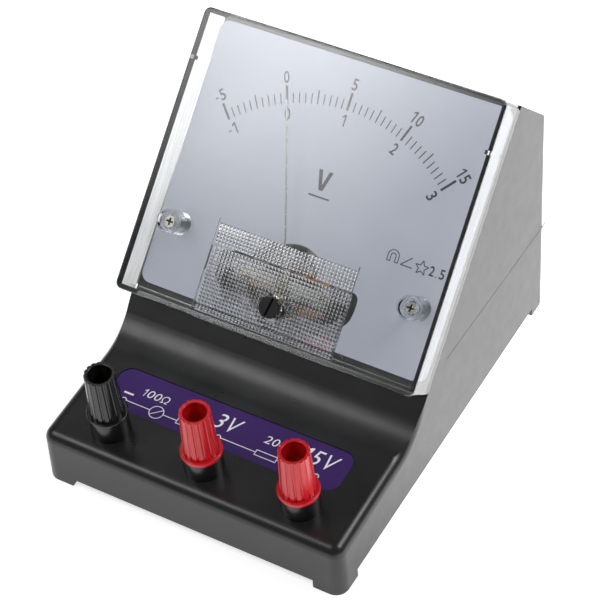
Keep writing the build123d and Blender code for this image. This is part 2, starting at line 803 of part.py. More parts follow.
with BuildPart() as counterweights:
    for turn, reach, size in ((180, 8.6, 1.05), (90, 6.2, 0.7), (270, 6.2, 0.7)):
        arm = Plane(
            origin=turned.from_local_coords((0, 0, pointer_low)),
            x_dir=turned.z_dir,
            z_dir=turned.y_dir * math.cos(math.radians(turn)) + turned.x_dir * math.sin(math.radians(turn)),
        )
        with BuildSketch(arm.offset(pointer_hub_radius + seat_gap)):
            Circle(weight_stem_radius)
        extrude(amount=reach - pointer_hub_radius)
        with BuildSketch(arm.offset(reach - 0.5 - weight_length_ratio * size)):
            Circle(size)
        extrude(amount=weight_length_ratio * size)
finish(counterweights.part, "counterweights", (0.75, 0.6, 0.3))


def hairspring(name, bottom, start_angle, outer):
    """Flat spiral from the spindle outwards."""
    points = []
    for i in range(spring_steps + 1):
        share = i / spring_steps
        angle = math.radians(start_angle + 360 * spring_turns * share)
        r = spring_inner_radius + (outer - spring_inner_radius) * share
        points.append((r * math.cos(angle), r * math.sin(angle)))
    with BuildPart() as body:
        with BuildSketch(face.offset(bottom)):
            with BuildLine():
                Spline(*points)
            trace(line_width=spring_width)
        extrude(amount=spring_height)
        with BuildSketch(face.offset(bottom)):
            Circle(spring_collet_radius)
            Circle(spindle_radius + seat_gap, mode=Mode.SUBTRACT)
        extrude(amount=spring_height)
    finish(body.part, name, (0.75, 0.5, 0.25))


hairspring("front_hairspring", 3.75, 270, 2.95)
hairspring("rear_hairspring", -21.9, 180, 3.6)

# ================= zero setting =================
with BuildPart() as zero_lever:
    with BuildSketch(face.offset(lever_back)):
        Circle(lever_hub_radius)
        with Locations((0, -lever_fork_length / 2)):
            Rectangle(lever_fork_width, lever_fork_length)
        with Locations((0, 2.3)):
            Rectangle(lever_tab_width, 2.8)
        with Locations((0, adjuster_y)):
            SlotOverall(6.2, 2 * adjuster_pin_radius + 0.3, rotation=90, mode=Mode.SUBTRACT)
        Circle(jewel_radius + 0.08, mode=Mode.SUBTRACT)
    extrude(amount=lever_thickness)
    with BuildSketch(face.offset(lever_tab_back)):
        with Locations((0, lever_tab_y)):
            Rectangle(lever_tab_width, 0.6)
    extrude(amount=lever_back - lever_tab_back + lever_thickness)
finish(zero_lever.part, "zero_lever", (0.8, 0.65, 0.3))

with BuildPart() as zero_adjuster:
    with BuildSketch(face.offset(adjuster_head_back)):
        with Locations((0, adjuster_y)):
            Circle(adjuster_head_radius)
    extrude(amount=adjuster_head_height)
    with BuildSketch(face.offset(adjuster_lip_back)):
        with Locations((0, adjuster_y)):
            Circle(adjuster_neck_radius)
    extrude(amount=adjuster_head_back - adjuster_lip_back)
    with BuildSketch(face.offset(adjuster_lip_back)):
        with Locations((0, adjuster_y)):
            Circle(adjuster_lip_radius)
    extrude(amount=adjuster_lip_height)
    with BuildSketch(face.offset(adjuster_pin_back)):
        with Locations((0, adjuster_y + adjuster_throw)):
            Circle(adjuster_pin_radius)
    extrude(amount=adjuster_lip_back - adjuster_pin_back + 0.2)
    head_top = adjuster_head_back + adjuster_head_height
    crown = zero_adjuster.faces().sort_by_distance(face.from_local_coords((0, adjuster_y, head_top)))[0]
    fillet(crown.edges(), 0.3)
    with BuildSketch(face.offset(head_top)):
        with Locations((0, adjuster_y)):
            Rectangle(adjuster_slot_width, adjuster_slot_length, rotation=adjuster_slot_turn)
    extrude(amount=-adjuster_slot_depth, mode=Mode.SUBTRACT)
finish(zero_adjuster.part, "zero_adjuster", (0.04, 0.04, 0.04))


# ================= terminals =================
def terminal_cap(name, x, color):
    with BuildPart() as cap:
        with BuildSketch(deck_plane(x, cap_bottom)):
            Circle(flange_radius)
        extrude(amount=flange_height)
        fillet(cap.edges().filter_by(GeomType.CIRCLE), flange_edge_radius)
        barrel_ends = ((cap_bottom + flange_height / 2, barrel_foot_radius), (cap_top, barrel_top_radius))
        for height, radius in barrel_ends:
            with BuildSketch(deck_plane(x, height)):
                Circle(radius)
                with PolarLocations(radius - flute_depth + flute_radius, flute_count):
                    Circle(flute_radius, mode=Mode.SUBTRACT)
        loft(ruled=True)
        with BuildSketch(deck_plane(x, cap_top)):
            Circle(cap_hole_radius)
        extrude(amount=-cap_hole_depth, mode=Mode.SUBTRACT)
        with BuildSketch(deck_plane(x, cap_bottom)):
            Circle(insert_radius + running_gap)
        extrude(amount=insert_top + running_gap - cap_bottom, mode=Mode.SUBTRACT)
        with BuildSketch(deck_plane(x, insert_top)):
            Circle(stud_radius + 0.3)
        extrude(amount=cap_top - cap_hole_depth - insert_top + 0.5, mode=Mode.SUBTRACT)
        mouth = [
            edge
            for edge in cap.edges().filter_by(GeomType.CIRCLE)
            if abs(deck_plane(x).to_local_coords(edge.center()).Z - cap_top) < 0.01
            and abs(edge.radius - cap_hole_radius) < 0.01
        ]
        fillet(mouth, mouth_edge_radius)
    finish(cap.part, name, color)


def cap_insert(name, x):
    with BuildPart() as insert:
        with BuildSketch(deck_plane(x, insert_bottom)):
            Circle(insert_radius)
            Circle(stud_radius + running_gap, mode=Mode.SUBTRACT)
        extrude(amount=insert_top - insert_bottom)
    finish(insert.part, name, (0.8, 0.68, 0.35))


for tag, x, color in zip(
    ("negative", "3v", "15v"), post_xs, ((0.04, 0.04, 0.04), (0.8, 0.05, 0.08), (0.8, 0.05, 0.08))
):
    terminal_cap(f"terminal_cap_{tag}", x, color)
    cap_insert(f"cap_insert_{tag}", x)


def collar(x):
    with BuildPart() as body:
        with BuildSketch(deck_plane(x, seat_gap)):
            Circle(collar_radius)
            Circle(shank_radius + seat_gap, mode=Mode.SUBTRACT)
        extrude(amount=collar_height - seat_gap)
        with BuildSketch(deck_plane(x, stud_foot)):
            Circle(stud_radius + seat_gap)
        extrude(amount=collar_height - stud_foot, mode=Mode.SUBTRACT)
    return body.part


def stud(x):
    with BuildPart() as body:
        with BuildSketch(deck_plane(x, stud_foot + seat_gap)):
            Circle(stud_radius)
        extrude(amount=stud_top - stud_foot - seat_gap)
        with BuildSketch(deck_plane(x, stud_foot + seat_gap)):
            Circle(shank_radius)
        extrude(amount=-(stud_foot + wall + shank_below_deck))
        with BuildSketch(deck_plane(x, stud_top)):
            Circle(socket_radius)
        extrude(amount=-socket_depth, mode=Mode.SUBTRACT)
    return body.part


def ring_under_deck(x, top, thickness, shape):
    """Washer, tag or nut around the stud's shank, its top face this far under the deck's top."""
    with BuildPart() as body:
        with BuildSketch(deck_plane(x, -top)):
            if shape == "washer":
                Circle(washer_radius)
            if shape == "tag":
                Circle(lug_radius)
                with Locations((0, lug_tail_y)):
                    Rectangle(lug_tail_width, lug_tail_length)
            if shape == "nut":
                RegularPolygon(nut_radius, 6)
            Circle(shank_radius + seat_gap, mode=Mode.SUBTRACT)
        extrude(amount=-thickness)
    return body.part


def at_each_terminal(name, color, pieces):
    with BuildPart() as group:
        for piece in pieces:
            add(piece)
    finish(group.part, name, color)


washer_top = wall + seat_gap
tag_top = washer_top + washer_thickness + seat_gap
nut_top = tag_top + lug_thickness + seat_gap
washers = [ring_under_deck(x, washer_top, washer_thickness, "washer") for x in post_xs]
lugs = [ring_under_deck(x, tag_top, lug_thickness, "tag") for x in post_xs]
nuts = [ring_under_deck(x, nut_top, nut_thickness, "nut") for x in post_xs]
at_each_terminal("terminal_collars", (0.05, 0.05, 0.05), [collar(x) for x in post_xs])
at_each_terminal("terminal_studs", (0.8, 0.68, 0.35), [stud(x) for x in post_xs])
at_each_terminal("terminal_washers", (0.7, 0.7, 0.7), washers)
at_each_terminal("solder_lugs", (0.75, 0.72, 0.65), lugs)
at_each_terminal("terminal_nuts", (0.8, 0.68, 0.35), nuts)

with BuildPart() as terminal_label:
    with BuildSketch(deck_at(label_centre_x, label_y, -label_recess + seat_gap)):
        RectangleRounded(label_width, label_height, label_radius)
    extrude(amount=label_thickness)
finish(terminal_label.part, "terminal_label", (0.2, 0.12, 0.35))

# ================= series resistors and wiring =================
lug_y = post_y + 8.6
lead_height = -tag_top - lug_thickness - 0.4


def lead_plane(x):
    origin = deck_at(x, lug_y, lead_height).origin
    return Plane(origin=origin, x_dir=(0, 1, 0), z_dir=(1, 0, 0))


def resistor(start, stop):
    """Axial resistor along X between two lead ends."""
    middle = (start + stop) / 2
    with BuildPart() as body:
        with BuildSketch(lead_plane(start)):
            Circle(lead_radius)
        extrude(amount=stop - start)
        with BuildSketch(lead_plane(middle - resistor_length / 2)):
            Circle(resistor_radius)
        extrude(amount=resistor_length)
        ends = [e for e in body.edges().filter_by(GeomType.CIRCLE) if e.radius > 2 * lead_radius]
        fillet(ends, resistor_end_radius)
    return body.part


with BuildPart() as series_resistors:
    add(resistor(post_xs[0] + 6, post_xs[1] - 0.6))
    add(resistor(post_xs[1] + 0.6, post_xs[2]))
finish(series_resistors.part, "series_resistors", (0.75, 0.6, 0.4))


def wire(points):
    with BuildPart() as body:
        with BuildLine() as path:
            Spline(*points)
        with BuildSketch(Plane(origin=path.line @ 0, z_dir=path.line % 0)):
            Circle(wire_radius)
        sweep()
    return body.part


with BuildPart() as tag_strip:
    side = Plane(
        origin=face.from_local_coords((strip_x, -shoe_half_height - seat_gap, strip_back)),
        x_dir=(1, 0, 0), z_dir=-face.y_dir,
    )
    with BuildSketch(side):
        Rectangle(strip_width, strip_height)
    extrude(amount=strip_thickness)
    with BuildSketch(side):
        with Locations((-strip_tag_spacing / 2, -2.0), (strip_tag_spacing / 2, -2.0)):
            Rectangle(strip_tag_width, strip_tag_length)
    extrude(amount=strip_tag_thickness)
finish(tag_strip.part, "tag_strip", (0.5, 0.35, 0.2))

first_lug = deck_at(post_xs[0], lug_y, lead_height - 0.3).origin
first_lead = deck_at(post_xs[0] + 5.2, lug_y, lead_height).origin
tag_y = -shoe_half_height - strip_tag_thickness - wire_radius - 0.05
left_tag = face.from_local_coords((strip_x - strip_tag_spacing / 2, tag_y, -22))
right_tag = face.from_local_coords((strip_x + strip_tag_spacing / 2, tag_y, -22))
with BuildPart() as hookup_wires:
    add(wire([
        (first_lug.X, first_lug.Y + 0.5, first_lug.Z - 0.4),
        (-30, -36, 9.5), (-22, -20, 10.5), (left_tag.X, left_tag.Y, left_tag.Z),
    ]))
    add(wire([
        (first_lead.X - 0.8, first_lead.Y, first_lead.Z),
        (-24, -36, 8.6), (-14, -20, 10.0), (right_tag.X, right_tag.Y, right_tag.Z),
    ]))
finish(hookup_wires.part, "hookup_wires", (0.6, 0.1, 0.1))
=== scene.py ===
import math

import bmesh
import bpy
from mathutils import Matrix, Vector


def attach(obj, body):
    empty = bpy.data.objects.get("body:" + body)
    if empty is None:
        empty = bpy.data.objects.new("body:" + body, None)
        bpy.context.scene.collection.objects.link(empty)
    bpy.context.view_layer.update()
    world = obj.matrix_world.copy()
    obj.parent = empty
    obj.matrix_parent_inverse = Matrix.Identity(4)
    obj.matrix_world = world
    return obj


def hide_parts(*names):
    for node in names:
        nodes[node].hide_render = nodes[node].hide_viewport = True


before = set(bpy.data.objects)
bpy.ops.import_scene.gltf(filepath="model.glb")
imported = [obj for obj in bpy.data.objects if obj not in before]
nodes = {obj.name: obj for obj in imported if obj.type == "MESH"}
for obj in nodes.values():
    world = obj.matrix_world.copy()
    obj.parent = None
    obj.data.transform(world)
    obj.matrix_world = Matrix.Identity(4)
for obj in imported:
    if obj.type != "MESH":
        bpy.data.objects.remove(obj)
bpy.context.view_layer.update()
MM = 0.001

# ---------------------------------------------------------------- frames (the CAD's own dimensions, in mm)
PEAK_Y, PEAK_Z = 47.0, 92.1
SLOPE = math.radians(45.4)
SLOPE_LENGTH = 99.4
FALL = math.radians(3.34)
PIVOT_DOWN = 68.2
FOLD_Y = PEAK_Y - SLOPE_LENGTH * math.cos(SLOPE)
FOLD_Z = PEAK_Z - SLOPE_LENGTH * math.sin(SLOPE)
PIVOT_Y = PEAK_Y - PIVOT_DOWN * math.cos(SLOPE)
PIVOT_Z = PEAK_Z - PIVOT_DOWN * math.sin(SLOPE)
ACROSS = Vector((1, 0, 0))
UP_FACE = Vector((0, math.cos(SLOPE), math.sin(SLOPE)))
OUT_FACE = Vector((0, -math.sin(SLOPE), math.cos(SLOPE)))
DECK_BACK = Vector((0, math.cos(FALL), math.sin(FALL)))
DECK_OUT = Vector((0, -math.sin(FALL), math.cos(FALL)))


def basis(origin, x, y, z):
    """A placing with the given axes and its origin in mm."""
    matrix = Matrix.Identity(4)
    for i, axis in enumerate((x, y, z)):
        matrix.col[i][:3] = axis
    matrix.col[3][:3] = Vector(origin) * MM
    return matrix


# x across, y up the dial, z out of it, from the pointer's axis
FACE = basis((0, PIVOT_Y, PIVOT_Z), ACROSS, UP_FACE, OUT_FACE)


def deck_frame(x, y):
    """x across, y back over the deck, z out of it."""
    return basis((x, y, FOLD_Z + (y - FOLD_Y) * math.tan(FALL)), ACROSS, DECK_BACK, DECK_OUT)


# ---------------------------------------------------------------- camera
CAM_AZIMUTH = math.radians(33.152)
CAM_ELEVATION = math.radians(45.71)
CAM_ROLL = math.radians(-4.655)
CAM_DISTANCE = 654.689
CAM_TARGET = Vector((-6.486, -2.92, 28.538))
CAM_SENSOR, CAM_LENS = 36.0, 133.405
CAM_SHIFT = (0.0425, 0.0282)
CAM_NEAR, CAM_FAR = 0.01, 20.0


def photo_camera():
    """Looks at the target from the photo's side, rolled as the photo is."""
    back = Vector((
        math.sin(CAM_AZIMUTH) * math.cos(CAM_ELEVATION),
        -math.cos(CAM_AZIMUTH) * math.cos(CAM_ELEVATION),
        math.sin(CAM_ELEVATION),
    ))
    right = Vector((0, 0, 1)).cross(back).normalized()
    above = back.cross(right)
    roll_right = right * math.cos(CAM_ROLL) + above * math.sin(CAM_ROLL)
    roll_above = above * math.cos(CAM_ROLL) - right * math.sin(CAM_ROLL)
    data = bpy.data.cameras.new("camera")
    data.sensor_width, data.lens = CAM_SENSOR, CAM_LENS
    data.shift_x, data.shift_y = CAM_SHIFT
    data.clip_start, data.clip_end = CAM_NEAR, CAM_FAR
    camera = bpy.data.objects.new("camera", data)
    bpy.context.scene.collection.objects.link(camera)
    camera.matrix_world = basis(CAM_TARGET + back * CAM_DISTANCE, roll_right, roll_above, back)
    bpy.context.scene.camera = camera


photo_camera()

# ---------------------------------------------------------------- mesh helpers
INK = 0.03


def new_object(name, mesh, body, matrix=None):
    """An object with its mesh moved into place, riding the body if there is one."""
    obj = bpy.data.objects.new(name, mesh)
    bpy.context.scene.collection.objects.link(obj)
    if matrix is not None:
        mesh.transform(matrix)
    if body:
        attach(obj, body)
    return obj


def mesh_from(name, verts, faces):
    mesh = bpy.data.meshes.new(name)
    mesh.from_pydata([tuple(v) for v in verts], [], faces)
    mesh.validate()
    return mesh


def polar(radius, angle, centre=(0.0, 0.0)):
    return (centre[0] + radius * math.cos(angle), centre[1] + radius * math.sin(angle))


class Raised:
    """Flat closed outlines in mm, all raised from one height to another, gathered into one mesh."""

    def __init__(self, low, high):
        self.low, self.high = low, high
        self.verts, self.faces = [], []

    def outline(self, points):
        start, count = len(self.verts), len(points)
        for z in (self.low, self.high):
            self.verts += [(x * MM, y * MM, z * MM) for x, y in points]
        self.faces.append([start + i for i in reversed(range(count))])
        self.faces.append([start + count + i for i in range(count)])
        for i in range(count):
            j = (i + 1) % count
            self.faces.append([start + i, start + j, start + count + j, start + count + i])

    def bar(self, a, b, width):
        """A straight line from a to b."""
        (ax, ay), (bx, by) = a, b
        length = math.hypot(bx - ax, by - ay)
        nx, ny = -(by - ay) / length * width / 2, (bx - ax) / length * width / 2
        self.outline([(ax - nx, ay - ny), (bx - nx, by - ny), (bx + nx, by + ny), (ax + nx, ay + ny)])

    def ring(self, centre, radius, width, sweep=360.0, steps=48):
        """A circle or arc, as short joined pieces."""
        inner, outer = radius - width / 2, radius + width / 2
        for i in range(steps):
            a, b = (math.radians(sweep * k / steps) for k in (i, i + 1))
            self.outline([
                polar(inner, a, centre), polar(outer, a, centre),
                polar(outer, b, centre), polar(inner, b, centre),
            ])

    def mesh(self, name):
        return mesh_from(name, self.verts, self.faces)


def join_meshes(name, parts):
    """Copies of meshes, each moved by its own matrix, in one mesh."""
    bm = bmesh.new()
    for mesh, matrix in parts:
        piece = mesh.copy()
        piece.transform(matrix)
        bm.from_mesh(piece)
        bpy.data.meshes.remove(piece)
    mesh = bpy.data.meshes.new(name)
    bmesh.ops.remove_doubles(bm, verts=bm.verts, dist=1e-7)
    bm.to_mesh(mesh)
    bm.free()
    return mesh


# ---------------------------------------------------------------- printed characters (shares of their height)
GLYPH_HALF_DEPTH = 0.01
STEM, STEM_TOP, FLAG = 0.02, 0.03, -0.2
FLAG_TOP, FLAG_FOOT = 0.2, 0.33
ONE_WIDTH, MINUS_WIDTH, POINT_WIDTH = 0.42, 0.3, 0.14
MINUS_HALF, MINUS_DROP, MINUS_WEIGHT = 0.14, 0.1, 0.8
POINT_HALF, POINT_DROP = 0.06, 0.44
BROAD = {"V": 1.35, "Ω": 1.2}


def glyph(character, height, width, bold):
    """A character of the built-in font, drawn to height and width and centred on its own box."""
    curve = bpy.data.curves.new("print", "FONT")
    curve.body = character
    curve.size = 1.0
    curve.extrude = GLYPH_HALF_DEPTH
    curve.offset = bold
    curve.resolution_u = 6
    obj = bpy.data.objects.new("print", curve)
    bpy.context.scene.collection.objects.link(obj)
    bpy.context.view_layer.update()
    mesh = bpy.data.meshes.new_from_object(obj.evaluated_get(bpy.context.evaluated_depsgraph_get()))
    bpy.data.objects.remove(obj)
    xs = [v.co.x for v in mesh.vertices]
    ys = [v.co.y for v in mesh.vertices]
    scale_x, scale_y = width / (max(xs) - min(xs)), height / (max(ys) - min(ys))
    scale_z = INK / (2 * GLYPH_HALF_DEPTH)
    middle_x, middle_y = (max(xs) + min(xs)) / 2, (max(ys) + min(ys)) / 2
    for v in mesh.vertices:
        v.co = Vector(((v.co.x - middle_x) * scale_x, (v.co.y - middle_y) * scale_y, v.co.z * scale_z)) * MM
    return mesh


def figure_one(height, weight):
    """A 1 with its flag."""
    half = height / 2
    stem, flag = STEM * height, FLAG * height
    shape = Raised(0.0, INK)
    shape.outline([
        (stem, -half), (stem + weight, -half), (stem + weight, half), (STEM_TOP * height, half),
        (flag, half - FLAG_TOP * height), (flag, half - FLAG_FOOT * height), (stem, half - FLAG_TOP * height),
    ])
    return shape.mesh("one")


def dash(name, half, drop, width):
    """A short level bar, below the middle of the line."""
    shape = Raised(0.0, INK)
    shape.bar((-half, -drop), (half, -drop), width)
    return shape.mesh(name)


def printed_character(character, height, width, weight, bold):
    """One character's mesh and how wide it is."""
    if character == "1":
        return figure_one(height, weight * height), ONE_WIDTH * height
    if character == "-":
        bar = dash("minus", MINUS_HALF * height, MINUS_DROP * height, weight * height * MINUS_WEIGHT)
        return bar, MINUS_WIDTH * height
    if character == ".":
        point = dash("point", POINT_HALF * height, POINT_DROP * height, 2 * POINT_HALF * height)
        return point, POINT_WIDTH * height
    wide = BROAD.get(character, 1.0) * width * height
    return glyph(character, height, wide, bold), wide


def figures(body, height, width=0.5, gap=0.16, weight=0.13, shear=0.0, bold=0.016):
    """A row of printed characters in one mesh, centred on the row."""
    pieces, advance = [], 0.0
    for character in body:
        mesh, wide = printed_character(character, height, width, weight, bold)
        pieces.append((mesh, Matrix.Translation(Vector((advance + wide / 2, 0, 0)) * MM)))
        advance += wide + gap * height
    total = advance - gap * height
    lean = Matrix.Identity(4)
    lean[0][1] = shear
    shift = lean @ Matrix.Translation(Vector((-total / 2, 0, 0)) * MM)
    return join_meshes("figures", [(mesh, shift @ matrix) for mesh, matrix in pieces])


def placed(x, y, z, turn=0.0):
    return Matrix.Translation(Vector((x, y, z)) * MM) @ Matrix.Rotation(math.radians(turn), 4, "Z")


# ---------------------------------------------------------------- material helpers
def material(name):
    mat = bpy.data.materials.new(name)
    mat.use_nodes = True
    tree = mat.node_tree
    tree.nodes.clear()
    out = tree.nodes.new("ShaderNodeOutputMaterial")
    shader = tree.nodes.new("ShaderNodeBsdfPrincipled")
    tree.links.new(shader.outputs[0], out.inputs["Surface"])
    return mat, tree, shader, out


def principled(mat):
    return next(n for n in mat.node_tree.nodes if n.type == "BSDF_PRINCIPLED")


def node(tree, kind, **values):
    """A node with its inputs, or else its settings, given by name."""
    made = tree.nodes.new(kind)
    for key, value in values.items():
        if key in made.inputs:
            made.inputs[key].default_value = value
        else:
            setattr(made, key, value)
    return made


def noise(tree, scale, detail=4.0, roughness=0.55, stretch=None, along_slope=None):
    """Noise in object space, scale in cycles per metre; along_slope draws it out along the slanted face."""
    source = tree.nodes.new("ShaderNodeTexCoord").outputs["Object"]
    if stretch:
        mapping = node(tree, "ShaderNodeMapping", Scale=stretch)
        tree.links.new(source, mapping.inputs["Vector"])
        source = mapping.outputs[0]
    if along_slope:
        turned = {"Rotation": (SLOPE, 0, 0), "Scale": (1, along_slope, 1)}
        mapping = node(tree, "ShaderNodeMapping", vector_type="TEXTURE", **turned)
        tree.links.new(source, mapping.inputs["Vector"])
        source = mapping.outputs[0]
    texture = node(tree, "ShaderNodeTexNoise", Scale=scale, Detail=detail, Roughness=roughness)
    tree.links.new(source, texture.inputs["Vector"])
    return texture.outputs["Fac"]


def ramp(tree, source, low, high, colour_low, colour_high):
    """A colour between two, by how far the source is from low to high."""
    made = tree.nodes.new("ShaderNodeValToRGB")
    for element, position, colour in zip(made.color_ramp.elements, (low, high), (colour_low, colour_high)):
        element.position = position
        element.color = (*colour, 1)
    tree.links.new(source, made.inputs[0])
    return made.outputs[0]


def span(tree, source, low, high, to_low, to_high, smooth=False):
    """The source's stretch from low to high, laid on the one from to_low to to_high."""
    made = tree.nodes.new("ShaderNodeMapRange")
    if smooth:
        made.interpolation_type = "SMOOTHSTEP"
    for i, value in enumerate((low, high, to_low, to_high)):
        made.inputs[i + 1].default_value = value
    tree.links.new(source, made.inputs[0])
    return made.outputs[0]


def along(tree, source, direction):
    """How far a place or normal reaches in one direction."""
    made = tree.nodes.new("ShaderNodeVectorMath")
    made.operation = "DOT_PRODUCT"
    made.inputs[1].default_value = direction
    tree.links.new(source, made.inputs[0])
    return made.outputs["Value"]


def mixed(tree, share, colour, other):
    """The plain colour at share 0, the other node's colour at share 1."""
    made = tree.nodes.new("ShaderNodeMix")
    made.data_type = "RGBA"
    made.inputs["A"].default_value = (*colour, 1)
    tree.links.new(share, made.inputs["Factor"])
    tree.links.new(other, made.inputs["B"])
    return made.outputs["Result"]


def bump(tree, shader, source, strength, distance, previous=None):
    made = node(tree, "ShaderNodeBump", Strength=strength, Distance=distance)
    tree.links.new(source, made.inputs["Height"])
    if previous:
        tree.links.new(previous, made.inputs["Normal"])
    tree.links.new(made.outputs[0], shader.inputs["Normal"])
    return made.outputs[0]


ROUGH_SPREAD = 0.03
COAT_ROUGHNESS = 0.08
MOULD_GRAIN, MOULD_DEPTH = 9000.0, 0.00001
SINK_MARKS, SINK_DEPTH = 45.0, 0.0001


def plastic(name, dark, light, rough, grain=MOULD_GRAIN, grain_depth=MOULD_DEPTH, coat=0.0, spec=0.5):
    """Moulded plastic: faint colour drift, satin variation, a fine moulded grain and soft sink marks."""
    mat, tree, shader, out = material(name)
    drift = noise(tree, 60.0, 3.0)
    tree.links.new(ramp(tree, drift, 0.3, 0.7, dark, light), shader.inputs["Base Color"])
    satin = noise(tree, 220.0, 6.0)
    roughness = span(tree, satin, 0.3, 0.7, rough - ROUGH_SPREAD, rough + ROUGH_SPREAD)
    tree.links.new(roughness, shader.inputs["Roughness"])
    shader.inputs["Specular IOR Level"].default_value = spec
    if coat:
        shader.inputs["Coat Weight"].default_value = coat
        shader.inputs["Coat Roughness"].default_value = COAT_ROUGHNESS
    first = bump(tree, shader, noise(tree, grain, 2.0), 0.35, grain_depth)
    bump(tree, shader, noise(tree, SINK_MARKS, 1.0), 0.1, SINK_DEPTH, first)
    return mat


def metal(name, dark, light, rough, stretch=(1, 1, 1), scale=2500.0, depth=0.00001):
    """Metal with tool or drawing marks along one direction."""
    mat, tree, shader, out = material(name)
    shader.inputs["Metallic"].default_value = 1.0
    tree.links.new(ramp(tree, noise(tree, 700.0, 4.0), 0.3, 0.7, dark, light), shader.inputs["Base Color"])
    marks = noise(tree, scale, 3.0, stretch=stretch)
    tree.links.new(span(tree, marks, 0.3, 0.7, rough * 0.7, rough * 1.4), shader.inputs["Roughness"])
    bump(tree, shader, marks, 0.25, depth)
    return mat


def nickel_with_painted_recess_shade(level):
    """Nickel painted near black bronze in the cross recess, below the given height over the slanted face:
    painted shade in the recess.
    """
    mat = metal("nickel_screw_head", (0.6, 0.58, 0.54), (0.76, 0.74, 0.7), 0.22)
    tree, shader = mat.node_tree, principled(mat)
    colour = shader.inputs["Base Color"].links[0].from_socket
    place = tree.nodes.new("ShaderNodeTexCoord").outputs["Object"]
    start = OUT_FACE.dot(Vector((0, PIVOT_Y, PIVOT_Z))) * MM
    height = along(tree, place, OUT_FACE)
    share = span(tree, height, start + (level - 0.25) * MM, start + (level - 0.05) * MM, 0.0, 1.0)
    # painted shade: the recess below the given height takes a near black bronze instead of nickel
    tree.links.new(mixed(tree, share, (0.06, 0.04, 0.025), colour), shader.inputs["Base Color"])
    return mat


def clear_plastic(name):
    """Clear styrene with drawn streaks in its side walls; lamps shine straight through it to the dial."""
    mat, tree, shader, out = material(name)
    normal = tree.nodes.new("ShaderNodeNewGeometry").outputs["True Normal"]
    sideways = node(tree, "ShaderNodeMath", operation="ABSOLUTE")
    tree.links.new(along(tree, normal, ACROSS), sideways.inputs[0])
    drawn = noise(tree, 900.0, 3.0, along_slope=25.0)
    streaks = ramp(tree, drawn, 0.35, 0.65, (0.68, 0.7, 0.7), (0.92, 0.93, 0.93))
    in_wall = span(tree, sideways.outputs[0], 0.8, 0.95, 0.0, 1.0)
    tree.links.new(mixed(tree, in_wall, (0.93, 0.94, 0.94), streaks), shader.inputs["Base Color"])
    shader.inputs["Transmission Weight"].default_value = 1.0
    shader.inputs["IOR"].default_value = 1.56
    tree.links.new(span(tree, noise(tree, 140.0, 5.0), 0.35, 0.75, 0.0, 0.05), shader.inputs["Roughness"])
    bump(tree, shader, noise(tree, 120.0, 1.0), 0.05, 0.0001)
    through = node(tree, "ShaderNodeBsdfTransparent", Color=(0.93, 0.95, 0.95, 1))
    shadow = tree.nodes.new("ShaderNodeLightPath").outputs["Is Shadow Ray"]
    either = tree.nodes.new("ShaderNodeMixShader")
    for socket, source in zip(either.inputs, (shadow, shader.outputs[0], through.outputs[0])):
        tree.links.new(source, socket)
    tree.links.new(either.outputs[0], out.inputs["Surface"])
    return mat


def paint(names, mat):
    for name in names:
        obj = nodes[name]
        if not obj.material_slots:
            obj.data.materials.append(mat)
        for slot in obj.material_slots:
            slot.material = mat


def give(obj, mat):
    obj.data.materials.clear()
    obj.data.materials.append(mat)


# ---------------------------------------------------------------- materials
FINE_PRINT_GRAIN = {"grain": 14000.0, "grain_depth": 0.000004}
PRESSED_POWDER = {"grain": 3000.0, "grain_depth": 0.00004}
LOOKS = {}
for name, dark, light, rough, more in (
    ("black_abs", (0.01, 0.01, 0.011), (0.015, 0.015, 0.016), 0.3, {}),
    ("black_gloss", (0.007, 0.007, 0.008), (0.011, 0.011, 0.012), 0.2, {"coat": 0.1}),
    ("red_gloss", (0.56, 0.005, 0.012), (0.66, 0.01, 0.019), 0.2, {"coat": 0.1}),
    ("dial_paint", (0.48, 0.495, 0.58), (0.51, 0.525, 0.61), 0.42, FINE_PRINT_GRAIN),
    ("label_purple", (0.042, 0.015, 0.12), (0.052, 0.02, 0.145), 0.35, {"spec": 0.3}),
    ("black_ink", (0.012, 0.012, 0.014), (0.03, 0.03, 0.034), 0.5, {}),
    ("white_ink", (0.9, 0.89, 0.92), (0.96, 0.95, 0.97), 0.5, {}),
    ("wire_pvc", (0.02, 0.02, 0.022), (0.04, 0.04, 0.042), 0.35, {}),
    ("tag_board", (0.25, 0.14, 0.06), (0.4, 0.25, 0.12), 0.5, {"grain": 1500.0}),
    ("ferrite", (0.035, 0.035, 0.038), (0.07, 0.07, 0.075), 0.6, PRESSED_POWDER),
    ("resistor_lacquer", (0.55, 0.4, 0.24), (0.68, 0.52, 0.34), 0.35, {"coat": 0.4}),
):
    LOOKS[name] = plastic(name, dark, light, rough, **more)

# the red caps glow a little inside, as thick red plastic does
red_shader = principled(LOOKS["red_gloss"])
red_shader.inputs["Subsurface Weight"].default_value = 0.12
red_shader.inputs["Subsurface Scale"].default_value = 0.002
red_shader.inputs["Subsurface Radius"].default_value = (1.0, 0.2, 0.15)

